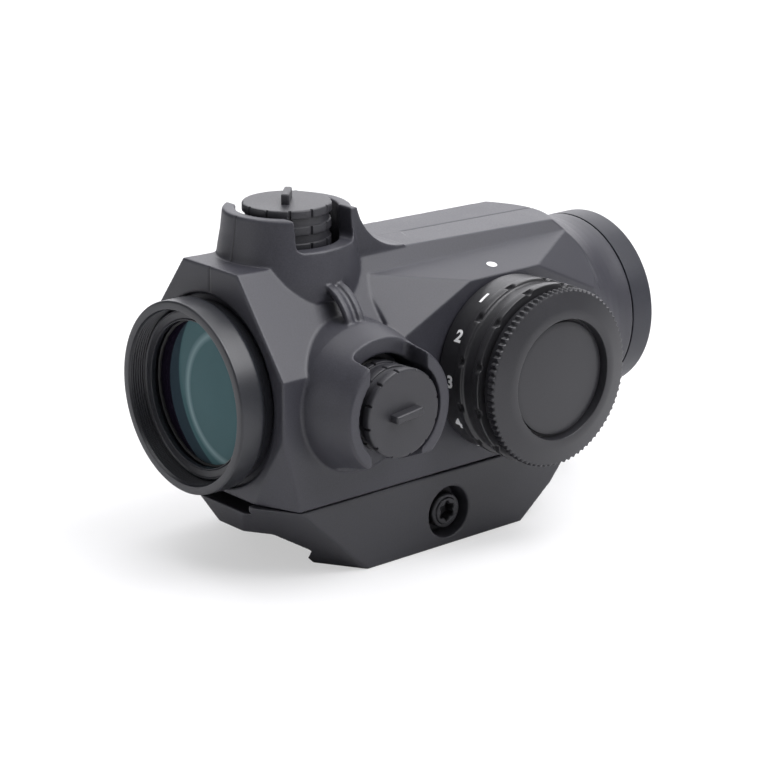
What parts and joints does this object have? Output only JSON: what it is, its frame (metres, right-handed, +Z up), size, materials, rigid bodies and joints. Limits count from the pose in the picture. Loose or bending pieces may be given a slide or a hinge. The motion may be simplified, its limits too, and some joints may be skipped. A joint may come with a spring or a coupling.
{
  "type": "red dot finder",
  "caption": "Tubular red dot finder with capped elevation and windage adjusters, a side brightness knob that holds the coin cell, and a clamp base for a dovetail rail.",
  "frame": {"origin": "on the rail seat, midway between the clamping lips, straight below the knob's axis", "axes": "+Y forward along the optical axis, from the eye to the target; +X towards the brightness knob; +Z up, away from the rail"},
  "size_m": [0.0446, 0.0797, 0.0527],
  "materials": {
    "anodised": "matte black hard-anodised, fine bead-blasted texture",
    "polymer": "moulded, satin black",
    "blackened_steel": "black oxide",
    "spring_steel": "bright",
    "brass": "turned",
    "rubber": "matte black",
    "window": "coated, teal sheen",
    "circuit": "green solder mask",
    "lamp": "clear red",
    "cell": "nickel-plated"
  },
  "bodies": {
    "housing": {"housing": "anodised", "ocular_bezel": "anodised", "ocular_lens": "window", "ocular_retaining_ring": "anodised", "ocular_seal": "rubber", "objective_hood": "anodised", "mount_base": "anodised", "base_screw_1": "blackened_steel", "base_screw_2": "blackened_steel", "base_screw_3": "blackened_steel", "base_screw_4": "blackened_steel", "elevation_turret": "anodised", "windage_turret": "anodised", "circuit_board": "circuit", "switch_spindle": "blackened_steel", "detent_spring": "spring_steel", "bias_spring": "spring_steel"},
    "gimbal_ring": {"gimbal_ring": "blackened_steel"},
    "optic_tube": {"optic_tube": "anodised", "objective_lens": "window", "objective_retaining_ring": "anodised", "emitter_holder": "circuit", "led_emitter": "lamp"},
    "elevation_dial": {"elevation_dial": "brass"},
    "elevation_plunger": {"elevation_plunger": "blackened_steel"},
    "elevation_cap_seal": {"elevation_cap_seal": "rubber"},
    "elevation_cap": {"elevation_cap": "polymer"},
    "windage_dial": {"windage_dial": "brass"},
    "windage_plunger": {"windage_plunger": "blackened_steel"},
    "windage_cap_seal": {"windage_cap_seal": "rubber"},
    "windage_cap": {"windage_cap": "polymer"},
    "brightness_knob": {"brightness_knob": "polymer", "battery": "cell", "contact_spring": "spring_steel"},
    "battery_cap_seal": {"battery_cap_seal": "rubber"},
    "battery_cap": {"battery_cap": "polymer"},
    "detent_ball": {"detent_ball": "spring_steel"},
    "clamp_screw": {"clamp_screw": "blackened_steel"},
    "clamp_jaw": {"clamp_jaw": "anodised", "clamp_nut": "blackened_steel"}
  },
  "joints": [
    {"name": "windage_tilt", "type": "hinge", "parent": "housing", "child": "gimbal_ring", "pos_m": [0, 0.0165, 0.0203], "axis": [0, 0, 1], "range_deg": [-0.55, 0.55]},
    {"name": "elevation_tilt", "type": "hinge", "parent": "gimbal_ring", "child": "optic_tube", "pos_m": [0, 0.0165, 0.0203], "axis": [1, 0, 0], "range_deg": [-0.55, 0.55]},
    {"name": "elevation_dial_turn", "type": "hinge", "parent": "housing", "child": "elevation_dial", "pos_m": [0, -0.02715, 0.0203], "axis": [0, 0, 1], "range_deg": [-300, 300]},
    {"name": "elevation_plunger_travel", "type": "slide", "parent": "housing", "child": "elevation_plunger", "axis": [0, 0, 1], "range_m": [-0.000416, 0.000416]},
    {"name": "elevation_cap_lift", "type": "slide", "parent": "housing", "child": "elevation_cap_seal", "axis": [0, 0, 1], "range_m": [0, 0.003]},
    {"name": "elevation_cap_turn", "type": "hinge", "parent": "elevation_cap_seal", "child": "elevation_cap", "pos_m": [0, -0.02715, 0.0203], "axis": [0, 0, 1], "range_deg": [0, 1440.1]},
    {"name": "windage_dial_turn", "type": "hinge", "parent": "housing", "child": "windage_dial", "pos_m": [0, -0.02715, 0.0203], "axis": [1, 0, 0], "range_deg": [-300, 300]},
    {"name": "windage_plunger_travel", "type": "slide", "parent": "housing", "child": "windage_plunger", "axis": [1, 0, 0], "range_m": [-0.000416, 0.000416]},
    {"name": "windage_cap_lift", "type": "slide", "parent": "housing", "child": "windage_cap_seal", "axis": [1, 0, 0], "range_m": [0, 0.003]},
    {"name": "windage_cap_turn", "type": "hinge", "parent": "windage_cap_seal", "child": "windage_cap", "pos_m": [0, -0.02715, 0.0203], "axis": [1, 0, 0], "range_deg": [0, 1440.1]},
    {"name": "brightness_turn", "type": "hinge", "parent": "housing", "child": "brightness_knob", "pos_m": [0.0164, 0, 0.0203], "axis": [-1, 0, 0], "range_deg": [0, 330]},
    {"name": "battery_cap_lift", "type": "slide", "parent": "brightness_knob", "child": "battery_cap_seal", "axis": [1, 0, 0], "range_m": [0, 0.001]},
    {"name": "battery_cap_turn", "type": "hinge", "parent": "battery_cap_seal", "child": "battery_cap", "pos_m": [0.0164, 0, 0.0203], "axis": [1, 0, 0], "range_deg": [0, 720.1]},
    {"name": "detent_press", "type": "slide", "parent": "housing", "child": "detent_ball", "axis": [-1, 0, 0], "range_m": [0, 0.0004]},
    {"name": "clamp_screw_turn", "type": "hinge", "parent": "housing", "child": "clamp_screw", "pos_m": [0, -0.0105, -0.00065], "axis": [1, 0, 0], "range_deg": [0, 1028.7]},
    {"name": "clamp_jaw_travel", "type": "slide", "parent": "housing", "child": "clamp_jaw", "axis": [-1, 0, 0], "range_m": [0, 0.002]}
  ],
  "couplings": [
    {"joint": "elevation_dial_turn", "follows": "elevation_plunger_travel", "rad_per_m": 12566},
    {"joint": "windage_dial_turn", "follows": "windage_plunger_travel", "rad_per_m": 12566},
    {"joint": "elevation_tilt", "follows": "elevation_plunger_travel", "rad_per_m": -22.91},
    {"joint": "windage_tilt", "follows": "windage_plunger_travel", "rad_per_m": 22.91},
    {"joint": "elevation_cap_turn", "follows": "elevation_cap_lift", "rad_per_m": 8377.6},
    {"joint": "windage_cap_turn", "follows": "windage_cap_lift", "rad_per_m": 8377.6},
    {"joint": "battery_cap_turn", "follows": "battery_cap_lift", "rad_per_m": 12566},
    {"joint": "clamp_screw_turn", "follows": "clamp_jaw_travel", "rad_per_m": 8976}
  ]
}
